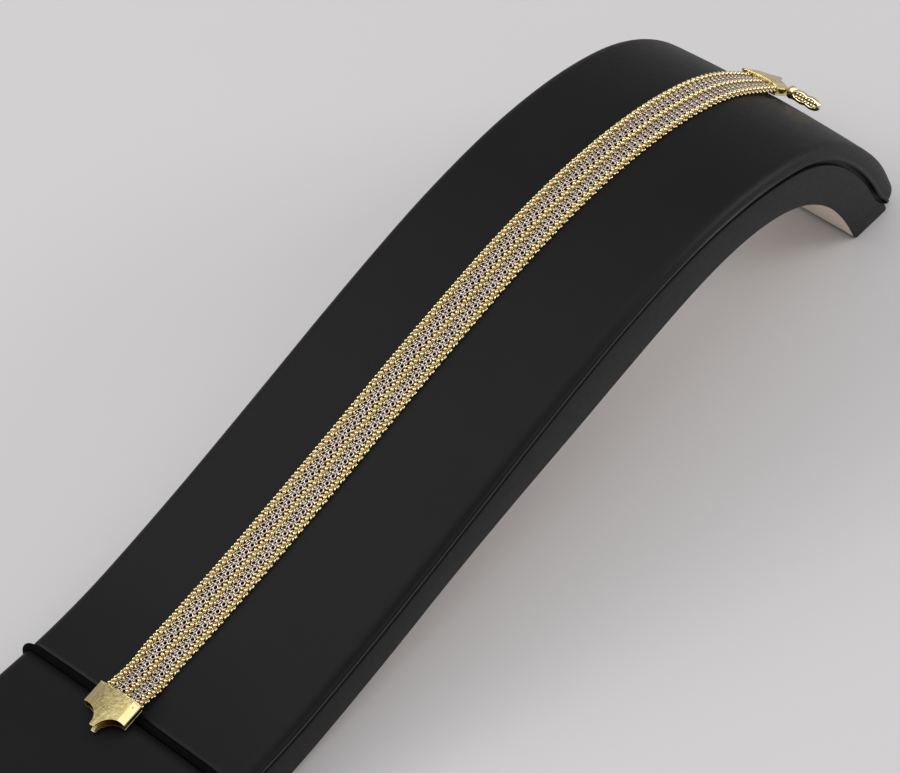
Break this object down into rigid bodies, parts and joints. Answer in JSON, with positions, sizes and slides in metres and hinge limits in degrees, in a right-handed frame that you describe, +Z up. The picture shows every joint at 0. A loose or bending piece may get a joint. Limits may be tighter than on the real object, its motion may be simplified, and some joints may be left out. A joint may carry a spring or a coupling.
{
  "type": "woven gold bracelet on a padded display ramp",
  "caption": "Flat woven bracelet of alternating yellow and white gold rows with a box clasp and a safety catch, lying open along a curved black padded display ramp.",
  "frame": {"origin": "on the table, under the middle of the whole thing's box", "axes": "+X along the ramp from its low end towards its high foot, +Y across it to the left, +Z up"},
  "size_m": [0.228, 0.0498, 0.0489],
  "materials": {
    "yellow_gold": "polished yellow gold",
    "white_gold": "polished, rhodium-plated white gold",
    "black_leatherette": "matt, fine-grained leatherette",
    "cream_board": "matt, uncoated",
    "elastic": "matt, covered with woven black thread"
  },
  "bodies": {
    "bracelet_on_ramp": {"stand_pad": "black_leatherette", "stand_core": "black_leatherette", "underside_board": "cream_board", "elastic_cord": "elastic", "yellow_edge_row_far": "yellow_gold", "white_row_far": "white_gold", "yellow_centre_row": "yellow_gold", "white_row_near": "white_gold", "yellow_edge_row_near": "yellow_gold", "box_cap": "yellow_gold", "tongue_cap": "yellow_gold"},
    "catch": {"safety_catch": "yellow_gold"}
  },
  "joints": [
    {"name": "catch_hinge", "type": "hinge", "parent": "bracelet_on_ramp", "child": "catch", "pos_m": [0.09736, -0.00461, 0.03054], "axis": [0.563, 0.052, 0.8248], "range_deg": [-35, 100]}
  ]
}
